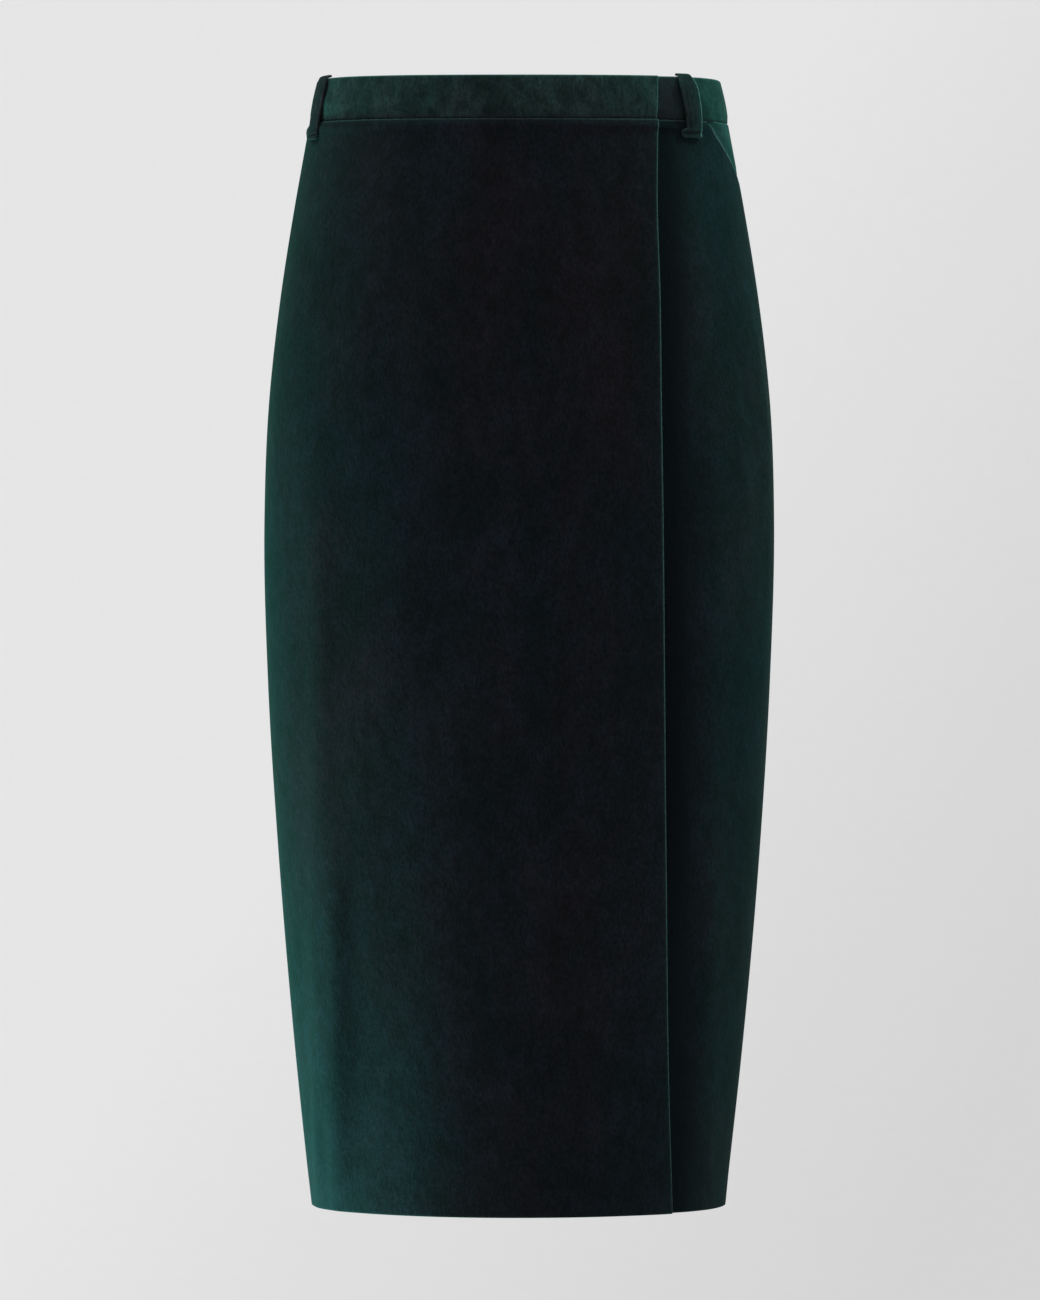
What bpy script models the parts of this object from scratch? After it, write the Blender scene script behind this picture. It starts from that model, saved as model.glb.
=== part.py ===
"""Wrap pencil skirt of bottle-green velvet, filled out as it is when worn.

Metres, +Z up. The front faces -Y, so the wearer's left is at +X. The origin is the centre of the
waist, at half the waistband's height on the centre front: the wearer's waist holds the skirt there.

The whole skirt is laid out on one body surface: level ellipses, whose half widths and depths come
from the SECTIONS table. A place on it is (angle, drop, out): the angle turns round the body from +X
through the back (90 degrees), the drop is measured down the cloth from the waistband's top edge,
and out is the distance outwards from the surface. Each piece is an open sheet of such places,
thickened inwards to its cloth by a Solidify modifier.
"""

import math

import bmesh
import bpy
import numpy as np
from mathutils import Vector

# Driving sizes.
LENGTH = 0.800  # from the waistband's top edge to the hem
BAND_HEIGHT = 0.031
WAIST_RISE = 0.003  # the waist is this much higher at the sides and the back than at the front
RISE_FADES_BY = 0.200  # the drop below which the rows of cloth hang level

CLOTH = 0.0018  # one layer of velvet
BAND_CLOTH = 0.0030  # the waistband is folded double round its interfacing
BAND_ROUNDING = 0.0012  # along the waistband's edges
LOOP_CLOTH = 0.0020  # a belt loop is a turned strip of velvet
SEAM = 0.0004  # left between two pieces that meet
LAY = 0.0003  # left between two pieces that lie on each other

# The body surface: a row for each level, from the top edge to the hem.
# wrap_edge is the x at which the free edge of the outer front lies.
SECTION_COLUMNS = ("drop", "half_width", "front_depth", "back_depth", "wrap_edge")
SECTIONS = (
    (0.000, 0.1442, 0.0878, 0.0856, 0.0985),
    (0.031, 0.1499, 0.0920, 0.0930, 0.0977),
    (0.058, 0.1549, 0.0955, 0.0995, 0.0971),
    (0.085, 0.1599, 0.0990, 0.1060, 0.0968),
    (0.156, 0.1715, 0.1070, 0.1200, 0.0987),
    (0.227, 0.1794, 0.1120, 0.1270, 0.0995),
    (0.313, 0.1825, 0.1150, 0.1250, 0.1009),
    (0.427, 0.1795, 0.1160, 0.1190, 0.1022),
    (0.548, 0.1719, 0.1150, 0.1150, 0.1030),
    (0.690, 0.1596, 0.1130, 0.1110, 0.1045),
    (LENGTH, 0.1481, 0.1110, 0.1080, 0.1074),
)

# Where the pieces end, as angles round the body in degrees.
SIDE_SEAM_BACK = 18.0  # the side seams lie this far behind the sides
LEFT_SEAM = 360.0 + SIDE_SEAM_BACK  # the wearer's left, at +X
RIGHT_SEAM = 180.0 - SIDE_SEAM_BACK
UNDER_EDGE_X = -0.070  # the hidden edge of the inner front

# The slanted pocket on the wearer's left hip.
POCKET_START = 360.0 - 26.0  # where its mouth leaves the waist seam
POCKET_END_DROP = 0.110  # where its mouth meets the side seam
POCKET_LAP = 0.016  # the hip piece runs this far on behind the mouth
BEHIND_ABOVE_MOUTH = 0.008  # up to this far above the mouth the hip piece stays behind it
LEVEL_ABOVE_MOUTH = 0.033  # and from here up it is level with its neighbours

# Belt loops: name, angle in degrees, and how far each stands off the waistband at its middle.
LOOPS = (
    ("belt_loop_front_right", 196.5, 0.0008),
    ("belt_loop_front_left", 325.5, 0.0032),
    ("belt_loop_back_right", 120.0, 0.0020),
    ("belt_loop_back_left", 60.0, 0.0020),
)
LOOP_WIDTH = 0.015
LOOP_END_DROP = 0.0437  # the lower end is sewn to the skirt below the waist seam

# Grid counts. The two fronts share the angles where they lie on each other.
ROWS = 22
BAND_ROWS = 4
HIP_ROWS = 12
COLUMNS_OUTER_ONLY = 13  # from the right seam to the hidden edge
COLUMNS_SHARED = 12  # from the hidden edge to the wrap edge
COLUMNS_TO_POCKET = 5  # from the wrap edge to the pocket's start
COLUMNS_POCKET = 8  # from there to the left seam
COLUMNS_LAP = 2  # across the hip piece's lap behind the pocket's start
COLUMNS_BACK = 26
COLUMNS_LOOP = 3
STEPS_LOOP = 2  # rows from one knot of a loop's line to the next

# Finishes, as linear colours.
VELVET_GREEN = (0.012, 0.045, 0.037)
BAND_GREEN = (0.016, 0.055, 0.046)
ROUGHNESS = 0.95


# ---------------------------------------------------------------- the body surface


def column(name):
    """One column of the SECTIONS table."""
    return np.array([row[SECTION_COLUMNS.index(name)] for row in SECTIONS])


LEVELS = column("drop")


def smooth(drop, name):
    """A column of the table at any drop, on a smooth curve through its rows."""
    values = column(name)
    slopes = np.gradient(values, LEVELS)
    i = int(np.clip(np.searchsorted(LEVELS, drop) - 1, 0, len(LEVELS) - 2))
    span = LEVELS[i + 1] - LEVELS[i]
    t = (drop - LEVELS[i]) / span
    if t < 0:
        return float(values[0] + slopes[0] * drop)
    ends = (2 * t**3 - 3 * t**2 + 1) * values[i] + (3 * t**2 - 2 * t**3) * values[i + 1]
    turns = (t**3 - 2 * t**2 + t) * slopes[i] + (t**3 - t**2) * slopes[i + 1]
    return float(ends + span * turns)


def ease(x):
    """0 to 1 with level ends."""
    x = min(1.0, max(0.0, x))
    return x * x * (3 - 2 * x)


def place(angle, drop, out=0.0):
    """The point at that angle in degrees, that drop, and that distance out from the surface."""
    c, s = math.cos(math.radians(angle)), math.sin(math.radians(angle))
    width = smooth(drop, "half_width")
    depth = smooth(drop, "front_depth" if s < 0 else "back_depth")
    outwards = Vector((c / width, s / depth, 0)).normalized()
    rise = WAIST_RISE * (1 - min(0.0, s) ** 2) * (1 - ease(drop / RISE_FADES_BY))
    return Vector((width * c, depth * s, BAND_HEIGHT / 2 - drop + rise)) + outwards * out


def degrees_of(distance, angle, drop):
    """The angle that a short distance round the body makes at that place."""
    step = 0.5
    return step * distance / (place(angle + step, drop) - place(angle, drop)).length


def front_angle(x, drop):
    """The angle at which the front of the surface has that x."""
    return 360.0 - math.degrees(math.acos(x / smooth(drop, "half_width")))


def wrap_angle(drop):
    return front_angle(smooth(drop, "wrap_edge"), drop)


def under_angle(drop):
    return front_angle(UNDER_EDGE_X, drop)


def mouth_drop(angle):
    """The drop of the pocket's mouth, a straight cut from the waist seam to the side seam."""
    share = (angle - POCKET_START) / (LEFT_SEAM - POCKET_START)
    return BAND_HEIGHT + max(0.0, share) * (POCKET_END_DROP - BAND_HEIGHT)


def on_surface(angle, drop):
    """The inset of a piece that lies on the body surface itself."""
    return 0.0


def under_inset(angle, drop):
    """How far the inner front lies inside the surface: under the outer front it makes room for the
    cloth above it, and past the wrap edge it comes out again to the side seam."""
    band = BAND_CLOTH + LAY
    panel = CLOTH + LAY
    full = band + (panel - band) * ease((drop - BAND_HEIGHT) / (2 * BAND_HEIGHT))
    past = (angle - wrap_angle(drop)) / (LEFT_SEAM - wrap_angle(drop))
    return full * (1 - ease((past - 0.1) / 0.8))


# ---------------------------------------------------------------- angles across each piece


def between(first, last, count):
    """count + 1 values from first to last."""
    return [first + (last - first) * i / count for i in range(count + 1)]


def shared_angles(drop):
    """The angles where both fronts lie on each other, the same for both."""
    return between(under_angle(drop), wrap_angle(drop), COLUMNS_SHARED)


def outer_angles(drop):
    """Across the outer front, from the right side seam to the wrap edge."""
    seam = RIGHT_SEAM + degrees_of(SEAM / 2, RIGHT_SEAM, drop)
    return between(seam, under_angle(drop), COLUMNS_OUTER_ONLY)[:-1] + shared_angles(drop)


def pocket_angles(drop):
    """From the pocket's start to the left side seam, the same for both sides of the pocket."""
    return between(POCKET_START, LEFT_SEAM - degrees_of(SEAM / 2, LEFT_SEAM, drop), COLUMNS_POCKET)


def inner_angles(drop):
    """Across the inner front, from its hidden edge to the left side seam."""
    to_pocket = between(wrap_angle(drop), POCKET_START, COLUMNS_TO_POCKET)[1:-1]
    return shared_angles(drop) + to_pocket + pocket_angles(drop)


def back_angles(drop):
    """Across the back, from the left side seam to the right one."""
    first = LEFT_SEAM - 360.0
    gap = degrees_of(SEAM / 2, first, drop)
    return between(first + gap, RIGHT_SEAM - gap, COLUMNS_BACK)


def hip_angles(drop):
    """Across the pocket's hip piece, from behind the mouth's upper end to the left side seam."""
    first = POCKET_START - degrees_of(POCKET_LAP, POCKET_START, drop)
    return between(first, POCKET_START, COLUMNS_LAP)[:-1] + pocket_angles(drop)


# ---------------------------------------------------------------- the pieces of cloth


def velvet(name, colour):
    material = bpy.data.materials.new(name)
    material.use_nodes = True
    shader = material.node_tree.nodes["Principled BSDF"]
    shader.inputs["Base Color"].default_value = (*colour, 1.0)
    shader.inputs["Roughness"].default_value = ROUGHNESS
    shader.inputs["Metallic"].default_value = 0.0
    return material


def cloth(name, grid, thickness, colour, collection):
    """An open sheet through rows of points, thickened inwards. Its rows run round the body."""
    mesh = bpy.data.meshes.new(name)
    shape = bmesh.new()
    verts = [[shape.verts.new(point) for point in row] for row in grid]
    for upper, lower in zip(verts, verts[1:]):
        for k in range(len(upper) - 1):
            shape.faces.new((upper[k], lower[k], lower[k + 1], upper[k + 1]))
    shape.normal_update()
    shape.to_mesh(mesh)
    shape.free()
    mesh.shade_smooth()
    mesh.materials.append(velvet(name + "_velvet", colour))
    piece = bpy.data.objects.new(name, mesh)
    collection.objects.link(piece)
    wall = piece.modifiers.new("cloth", "SOLIDIFY")
    wall.thickness = thickness
    wall.offset = -1.0
    wall.use_even_offset = True
    return piece


def panel(name, angles, inset, top, collection):
    """A panel of single cloth from the drop top(angle) to the hem. angles(drop) gives its columns."""
    grid = []
    for share in between(0.0, 1.0, ROWS):
        row = []
        for k, at_top in enumerate(angles(BAND_HEIGHT)):
            drop = top(at_top) + (LENGTH - top(at_top)) * share
            angle = angles(drop)[k]
            row.append(place(angle, drop, -inset(angle, drop)))
        grid.append(row)
    cloth(name, grid, CLOTH, VELVET_GREEN, collection)


def waistband(name, angles, inset, collection):
    """A stretch of the waistband: folded cloth with rounded edges."""
    grid = []
    for drop in between(0.0, BAND_HEIGHT - SEAM, BAND_ROWS):
        grid.append([place(angle, drop, -inset(angle, drop)) for angle in angles(drop)])
    band = cloth(name, grid, BAND_CLOTH, BAND_GREEN, collection)
    edges = band.modifiers.new("rounded edges", "BEVEL")
    edges.limit_method = "ANGLE"
    edges.angle_limit = math.radians(60)
    edges.width = BAND_ROUNDING
    edges.segments = 2


def hip_piece(name, collection):
    """The piece that shows past the pocket's mouth, and runs on behind it under the inner front."""
    grid = []
    for share in between(0.0, 1.0, HIP_ROWS):
        row = []
        for k, at_top in enumerate(hip_angles(BAND_HEIGHT)):
            drop = BAND_HEIGHT + (mouth_drop(at_top) + POCKET_LAP - BAND_HEIGHT) * share
            angle = hip_angles(drop)[k]
            above = mouth_drop(angle) - drop - BEHIND_ABOVE_MOUTH
            rise = ease(above / (LEVEL_ABOVE_MOUTH - BEHIND_ABOVE_MOUTH))
            behind = (CLOTH + 2 * LAY) * (1 - rise)
            row.append(place(angle, drop, -under_inset(angle, drop) - behind))
        grid.append(row)
    cloth(name, grid, CLOTH, VELVET_GREEN, collection)


def curve_through(knots):
    """The knots, with points between them on a smooth curve."""
    padded = [2 * knots[0] - knots[1], *knots, 2 * knots[-1] - knots[-2]]
    line = []
    for a, b, c, d in zip(padded, padded[1:], padded[2:], padded[3:]):
        for t in between(0.0, 1.0, STEPS_LOOP)[:-1]:
            curve = 2 * b + (c - a) * t + (2 * a - 5 * b + 4 * c - d) * t**2
            line.append((curve + (3 * b - a - 3 * c + d) * t**3) / 2)
    return [*line, knots[-1]]


def belt_loop(name, angle, arch, inset, collection):
    """A strip that starts on the waistband's top edge, stands off the band and is sewn down below it."""
    lies = LAY + LOOP_CLOTH  # the strip's outer face, where it lies on the cloth
    fold = BAND_ROUNDING
    corner = (fold + lies) * math.cos(math.radians(45)) - fold
    # The outer face's line as (drop, out): over the top edge, down past the arch, in to the skirt.
    knots = (
        (-lies, -BAND_CLOTH * 0.93),
        (-lies, -fold),
        (-corner, corner),
        (fold, lies + arch * 0.15),
        (0.0080, lies + arch * 0.85),
        (0.0180, lies + arch),
        (0.0290, lies + arch * 0.90),
        (0.0385, lies + arch * 0.25),
        (LOOP_END_DROP, lies),
    )
    grid = []
    for drop, out in curve_through([Vector(knot) for knot in knots]):
        half_turn = degrees_of(LOOP_WIDTH / 2, angle, max(0.0, drop))
        across = between(angle - half_turn, angle + half_turn, COLUMNS_LOOP)
        grid.append([place(a, drop, out - inset(a, max(0.0, drop))) for a in across])
    cloth(name, grid, LOOP_CLOTH, BAND_GREEN, collection)


# ---------------------------------------------------------------- the skirt


def below_band(angle):
    return BAND_HEIGHT


def main():
    for leftover in list(bpy.data.objects):
        bpy.data.objects.remove(leftover)
    skirt = bpy.data.collections.new("wrap_pencil_skirt")
    bpy.context.scene.collection.children.link(skirt)

    panel("front_outer", outer_angles, on_surface, below_band, skirt)
    panel("front_inner", inner_angles, under_inset, mouth_drop, skirt)
    panel("back", back_angles, on_surface, below_band, skirt)
    hip_piece("pocket_hip_piece", skirt)

    waistband("waistband_outer", outer_angles, on_surface, skirt)
    waistband("waistband_inner", inner_angles, under_inset, skirt)
    waistband("waistband_back", back_angles, on_surface, skirt)

    for name, angle, arch in LOOPS:
        on_inner_front = wrap_angle(0.0) < angle < LEFT_SEAM
        belt_loop(name, angle, arch, under_inset if on_inner_front else on_surface, skirt)


main()
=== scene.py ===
"""Wrap pencil skirt of bottle-green velvet: the finish of every piece, its light and its camera.

Metres, +Z up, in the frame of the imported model. The skirt is laid out on the same body surface as
the solids: a place is (angle, drop, out), where the angle turns round the body from +X through the
back (90 degrees), the drop is measured down the cloth from the waistband's top edge, and out is the
distance outwards. Each piece here is a thin wall of cloth with rounded edges on its solid's form.
"""

import math

import bpy
import numpy as np
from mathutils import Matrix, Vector


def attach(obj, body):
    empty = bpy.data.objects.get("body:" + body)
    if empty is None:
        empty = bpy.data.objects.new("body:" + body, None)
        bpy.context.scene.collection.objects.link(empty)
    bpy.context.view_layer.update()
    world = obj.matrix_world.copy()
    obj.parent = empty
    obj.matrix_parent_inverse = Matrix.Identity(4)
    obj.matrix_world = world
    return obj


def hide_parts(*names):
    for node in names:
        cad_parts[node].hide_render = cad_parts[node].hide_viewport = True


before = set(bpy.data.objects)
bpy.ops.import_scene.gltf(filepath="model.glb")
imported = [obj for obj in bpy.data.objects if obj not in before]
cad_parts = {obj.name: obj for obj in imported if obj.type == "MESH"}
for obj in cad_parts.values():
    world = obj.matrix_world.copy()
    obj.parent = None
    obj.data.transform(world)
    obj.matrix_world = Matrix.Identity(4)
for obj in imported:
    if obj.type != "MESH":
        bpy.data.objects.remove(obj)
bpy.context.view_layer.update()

# -------------------------------------------------------- sizes, as the solids have them

LENGTH = 0.800
BAND_HEIGHT = 0.031
WAIST_RISE = 0.003
RISE_FADES_BY = 0.200
CLOTH = 0.0018
BAND_CLOTH = 0.0030
LOOP_CLOTH = 0.0020
LAY = 0.0003

# The body surface: a row for each level, from the top edge to the hem. wrap_edge is the x at which
# the free edge of the outer front lies.
SECTION_COLUMNS = ("drop", "half_width", "front_depth", "back_depth", "wrap_edge")
SECTIONS = (
    (0.000, 0.1442, 0.0878, 0.0856, 0.0985),
    (0.031, 0.1499, 0.0920, 0.0930, 0.0977),
    (0.058, 0.1549, 0.0955, 0.0995, 0.0971),
    (0.085, 0.1599, 0.0990, 0.1060, 0.0968),
    (0.156, 0.1715, 0.1070, 0.1200, 0.0987),
    (0.227, 0.1794, 0.1120, 0.1270, 0.0995),
    (0.313, 0.1825, 0.1150, 0.1250, 0.1009),
    (0.427, 0.1795, 0.1160, 0.1190, 0.1022),
    (0.548, 0.1719, 0.1150, 0.1150, 0.1030),
    (0.690, 0.1596, 0.1130, 0.1110, 0.1045),
    (LENGTH, 0.1481, 0.1110, 0.1080, 0.1074),
)

SIDE_SEAM_BACK = 18.0
LEFT_SEAM = 360.0 + SIDE_SEAM_BACK
RIGHT_SEAM = 180.0 - SIDE_SEAM_BACK
UNDER_EDGE_X = -0.070
POCKET_START = 360.0 - 26.0
POCKET_END_DROP = 0.110
POCKET_LAP = 0.016

# Belt loops: name, angle in degrees, how far each stands off the band, how much wider its end is, and
# how pale its two sides and its end are from use, with a painted highlight along them that is a wide
# strip down one side of the front left loop.
LOOPS = (
    ("belt_loop_front_right", 196.5, 0.0008, 0.0, (0.40, 0.05, 0.10)),
    ("belt_loop_front_left", 325.5, 0.0032, 0.0045, (0.15, 8.0, 0.35)),
    ("belt_loop_back_right", 120.0, 0.0020, 0.0006, (0.40, 0.40, 0.30)),
    ("belt_loop_back_left", 60.0, 0.0020, 0.0012, (0.40, 0.40, 0.30)),
)
LOOP_WIDTH = 0.015
LOOP_END_DROP = 0.0437

# -------------------------------------------------------- the finish, in metres and shares

# The hip piece lies closer behind the pocket's mouth than its solid does.
BEHIND_ABOVE_MOUTH = 0.003  # up to this far above the mouth it stays behind it
LEVEL_ABOVE_MOUTH = 0.018  # and from here up it is level with its neighbours
HIP_PIECE_RAISED = 0.0012  # near the mouth its top edge reaches this far up behind the waistband

# The wrong side.
SEAM_ALLOWANCE = 0.012  # pressed open
HEM_ALLOWANCE = 0.035  # turned up
ALLOWANCE_STEP = 0.0007  # how far a layer of allowance stands out
ALLOWANCE_SLOPE = 0.002  # over which it rises

# Painted shade darkens the crease of the waist seam, and the panels puff out just below it.
SEAM_PAINTED_SHADE = 0.9
SEAM_PAINTED_SHADE_HALF = 0.0019
SEAM_PUFF = 0.0015
SEAM_PUFF_BELOW = 0.0048
SEAM_PUFF_HALF = 0.0038

# The outer front's free edge stands a little off the inner front, and is rolled in.
EDGE_LIFT = 0.0018
EDGE_LIFT_WIDTH = 0.040
EDGE_ROLL = 0.0005
EDGE_ROLL_HALF = 0.0016

# The inner front lies deeper along that edge, comes out to the surface on its way to the side seam,
# and has a painted shadow beside the edge, where the outer front shades it.
HOLLOW = 0.0022
HOLLOW_WIDTH = 0.020
INSET_FADES_FROM = 0.1  # as a share of the way to the side seam
INSET_FADES_OVER = 0.8
EDGE_SHADOW_ON_BAND = 0.7
EDGE_SHADOW_FULL = 0.007  # painted shadow at full strength as far as this from the edge
EDGE_SHADOW_FADES_OVER = 0.028

# Pile paled by use, with a painted highlight, along the edges: how far it reaches in from an edge, and
# how strongly the inner front's top edge has it.
WEAR_AND_HIGHLIGHT_WIDTH = 0.0011
WAIST_WEAR_AND_HIGHLIGHT = 0.6
MOUTH_WEAR_AND_HIGHLIGHT = 150.0  # and this much more along the pocket's mouth, where the strip is far wider
MOUTH_WEAR_AND_HIGHLIGHT_OVER = 3.0  # degrees from the mouth's start

# Back darts: the angle of each, and their length from the waist seam down.
DART_ANGLES = (64.0, 116.0)
DART_LENGTH = 0.120
DART_GROOVE = 0.0011
DART_GROOVE_HALF = 0.0010
DART_FADES_FROM = 0.8  # as a share of its length
DART_FADES_OVER = 0.2
DART_SWELL = 0.0012  # round its point
DART_SWELL_HALF = 0.016
DART_SWELL_REACH = 0.35  # as a share of its length

# Soft creases in the velvet: angle and drop at the start, angle and drop at the end, half width, and
# height outwards.
CREASES = (
    (214.0, 0.175, 236.0, 0.085, 0.014, -0.0012),
    (222.0, 0.215, 246.0, 0.120, 0.018, 0.0009),
    (205.0, 0.120, 222.0, 0.052, 0.011, 0.0009),
    (330.0, 0.150, 340.0, 0.330, 0.013, -0.0012),
    (341.0, 0.130, 349.0, 0.300, 0.011, 0.0011),
    (314.0, 0.560, 318.0, 0.780, 0.012, -0.0006),
    (208.0, 0.560, 212.0, 0.790, 0.016, 0.0009),
    (222.0, 0.520, 226.0, 0.790, 0.018, -0.0006),
    (60.0, 0.215, 88.0, 0.245, 0.014, -0.0008),
    (96.0, 0.250, 124.0, 0.222, 0.015, -0.0007),
    (40.0, 0.110, 58.0, 0.160, 0.013, 0.0006),
    (122.0, 0.165, 143.0, 0.105, 0.014, 0.0006),
    (76.0, 0.430, 81.0, 0.760, 0.020, -0.0009),
    (102.0, 0.470, 100.0, 0.780, 0.022, 0.0008),
    (30.0, 0.330, 36.0, 0.640, 0.018, 0.0007),
    (147.0, 0.300, 150.0, 0.620, 0.018, -0.0006),
)
CREASE_GIRTH = 0.130  # metres a radian, near enough for the creases' own lengths
CREASE_BOW = 0.25  # how far a crease bows, as a share of its half width
CREASE_ENDS = 0.35  # the share of its length over which each end fades

# Folds that hang straight down, where the cloth turns from front or back to side: -1 on the front or
# 1 on the back, x at the start and at the end, drop at the start and at the end, half width, height.
FOLDS = (
    (-1, -0.1400, -0.1410, 0.220, 0.860, 0.019, 0.0024),
    (-1, -0.1290, -0.1265, 0.500, 0.860, 0.016, 0.0032),
    (-1, 0.1390, 0.1340, 0.160, 0.860, 0.020, 0.0014),
    (-1, -0.0900, -0.0860, 0.420, 0.860, 0.024, -0.0008),
    (1, -0.1330, -0.1300, 0.180, 0.860, 0.022, 0.0020),
    (1, 0.1300, 0.1330, 0.140, 0.860, 0.020, 0.0023),
    (1, 0.0500, 0.0420, 0.450, 0.860, 0.026, -0.0010),
    (1, -0.0350, -0.0420, 0.520, 0.860, 0.024, 0.0009),
)
FOLD_START = 0.3  # the share of its length over which a fold grows
FOLD_FACING = 4  # how quickly a fold ends where its side of the skirt does

# The waistband is padded, drawn in along its lower edge, and rippled: turns round the body and phase of
# the two waves that swell and fade together, and turns of the fine one.
BAND_PADDING = 0.0008
BAND_DRAWN_IN = 0.0008
BAND_DRAWN_IN_FROM = 0.75  # as a share of its height
BAND_DRAWN_IN_OVER = 0.25
RIPPLE_HEIGHT = 0.00035
RIPPLE_WAVES = ((23, 0.6), (9, 2.1))
FINE_RIPPLE_HEIGHT = 0.0002
FINE_RIPPLE_TURNS = 41

# Soft puffs in the waistband: angle, share of its height, half width and height.
PUFFS = (
    (204.0, 0.55, 0.008, 0.0009),
    (216.0, 0.70, 0.012, -0.0006),
    (238.0, 0.35, 0.012, 0.0006),
    (255.0, 0.75, 0.010, -0.0006),
    (270.0, 0.80, 0.009, 0.0008),
    (284.0, 0.45, 0.012, -0.0005),
    (305.5, 0.45, 0.009, 0.0012),
    (337.0, 0.70, 0.007, 0.0010),
    (352.0, 0.50, 0.010, -0.0006),
    (20.0, 0.60, 0.012, 0.0007),
    (45.0, 0.70, 0.012, -0.0006),
    (78.0, 0.60, 0.011, 0.0007),
    (101.0, 0.75, 0.010, -0.0006),
    (138.0, 0.65, 0.012, 0.0007),
    (156.0, 0.50, 0.010, 0.0006),
)

# Slow waves of the whole cloth: turns round the body, waves down its length, phase and height.
WAVES = (
    (5, 0.7, 0.3, 0.00035),
    (8, 1.3, 1.9, 0.00022),
    (13, 2.1, 4.1, 0.00014),
    (21, 1.1, 2.6, 0.00009),
)

# The waist seam holds creases, folds and waves flat, and the hem's turning evens them out.
RELIEF_FREE_BELOW = 0.03  # how far below the waist seam the cloth hangs free
HEM_EVENS = 0.6
HEM_EVENS_OVER = 0.03


# -------------------------------------------------------- the body surface


def column(name):
    """One column of the SECTIONS table."""
    return np.array([row[SECTION_COLUMNS.index(name)] for row in SECTIONS])


LEVELS = column("drop")


def smooth(drop, name):
    """A column of the table at any drops, on a smooth curve through its rows."""
    drop = np.asarray(drop, float)
    values = column(name)
    slopes = np.gradient(values, LEVELS)
    i = np.clip(np.searchsorted(LEVELS, drop) - 1, 0, len(LEVELS) - 2)
    span = LEVELS[i + 1] - LEVELS[i]
    t = np.clip((drop - LEVELS[i]) / span, 0, 1)
    ends = (2 * t**3 - 3 * t**2 + 1) * values[i] + (3 * t**2 - 2 * t**3) * values[i + 1]
    turns = (t**3 - 2 * t**2 + t) * slopes[i] + (t**3 - t**2) * slopes[i + 1]
    return ends + span * turns + np.minimum(0.0, drop) * slopes[0]


def ease(x):
    """0 to 1 with level ends."""
    x = np.clip(x, 0, 1)
    return x * x * (3 - 2 * x)


def bump(x):
    """1 at 0, falling softly to nothing by 2."""
    return np.exp(-2 * np.square(x))


def place(angle, drop, out=0.0):
    """The points at those angles in degrees, drops, and distances out from the surface."""
    angle, drop, out = np.broadcast_arrays(np.asarray(angle, float), drop, out)
    c, s = np.cos(np.radians(angle)), np.sin(np.radians(angle))
    width = smooth(drop, "half_width")
    depth = np.where(s < 0, smooth(drop, "front_depth"), smooth(drop, "back_depth"))
    normal = np.stack([c / width, s / depth], -1)
    normal /= np.linalg.norm(normal, axis=-1, keepdims=True)
    rise = WAIST_RISE * (1 - np.minimum(0.0, s) ** 2) * (1 - ease(drop / RISE_FADES_BY))
    x = width * c + normal[..., 0] * out
    y = depth * s + normal[..., 1] * out
    return np.stack([x, y, BAND_HEIGHT / 2 - drop + rise], -1)


def metres_per_degree(angle, drop):
    """How far one degree of turn goes round the body at those places."""
    step = 0.25
    across = place(np.add(angle, step), drop) - place(np.subtract(angle, step), drop)
    return np.linalg.norm(across, axis=-1) / (2 * step)


def front_angle(x, drop):
    """The angle at which x lies on the front."""
    return 360.0 - np.degrees(np.arccos(x / smooth(drop, "half_width")))


def wrap_angle(drop):
    """The free edge of the outer front."""
    return front_angle(smooth(drop, "wrap_edge"), drop)


def under_angle(drop):
    """The hidden edge of the inner front."""
    return front_angle(UNDER_EDGE_X, drop)


def right_seam(drop):
    return np.full(np.shape(drop), RIGHT_SEAM)


def left_seam(drop):
    return np.full(np.shape(drop), LEFT_SEAM)


def back_left_seam(drop):
    """The left seam, one turn back, where the back starts."""
    return left_seam(drop) - 360.0


def mouth_drop(angle):
    """The drop of the pocket's mouth at those angles."""
    share = (angle - POCKET_START) / (LEFT_SEAM - POCKET_START)
    return BAND_HEIGHT + np.maximum(0.0, share) * (POCKET_END_DROP - BAND_HEIGHT)


def under_inset(angle, drop):
    """How far the inner front lies inside the surface."""
    full = BAND_CLOTH + (CLOTH - BAND_CLOTH) * ease((drop - BAND_HEIGHT) / (2 * BAND_HEIGHT)) + LAY
    past = (angle - wrap_angle(drop)) / (LEFT_SEAM - wrap_angle(drop))
    away = (angle - wrap_angle(drop)) * metres_per_degree(angle, drop)
    fades = ease((past - INSET_FADES_FROM) / INSET_FADES_OVER)
    return full * (1 - fades) + HOLLOW * bump(away / HOLLOW_WIDTH)


def on_surface(angle, drop):
    return np.zeros(np.shape(angle))


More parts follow.
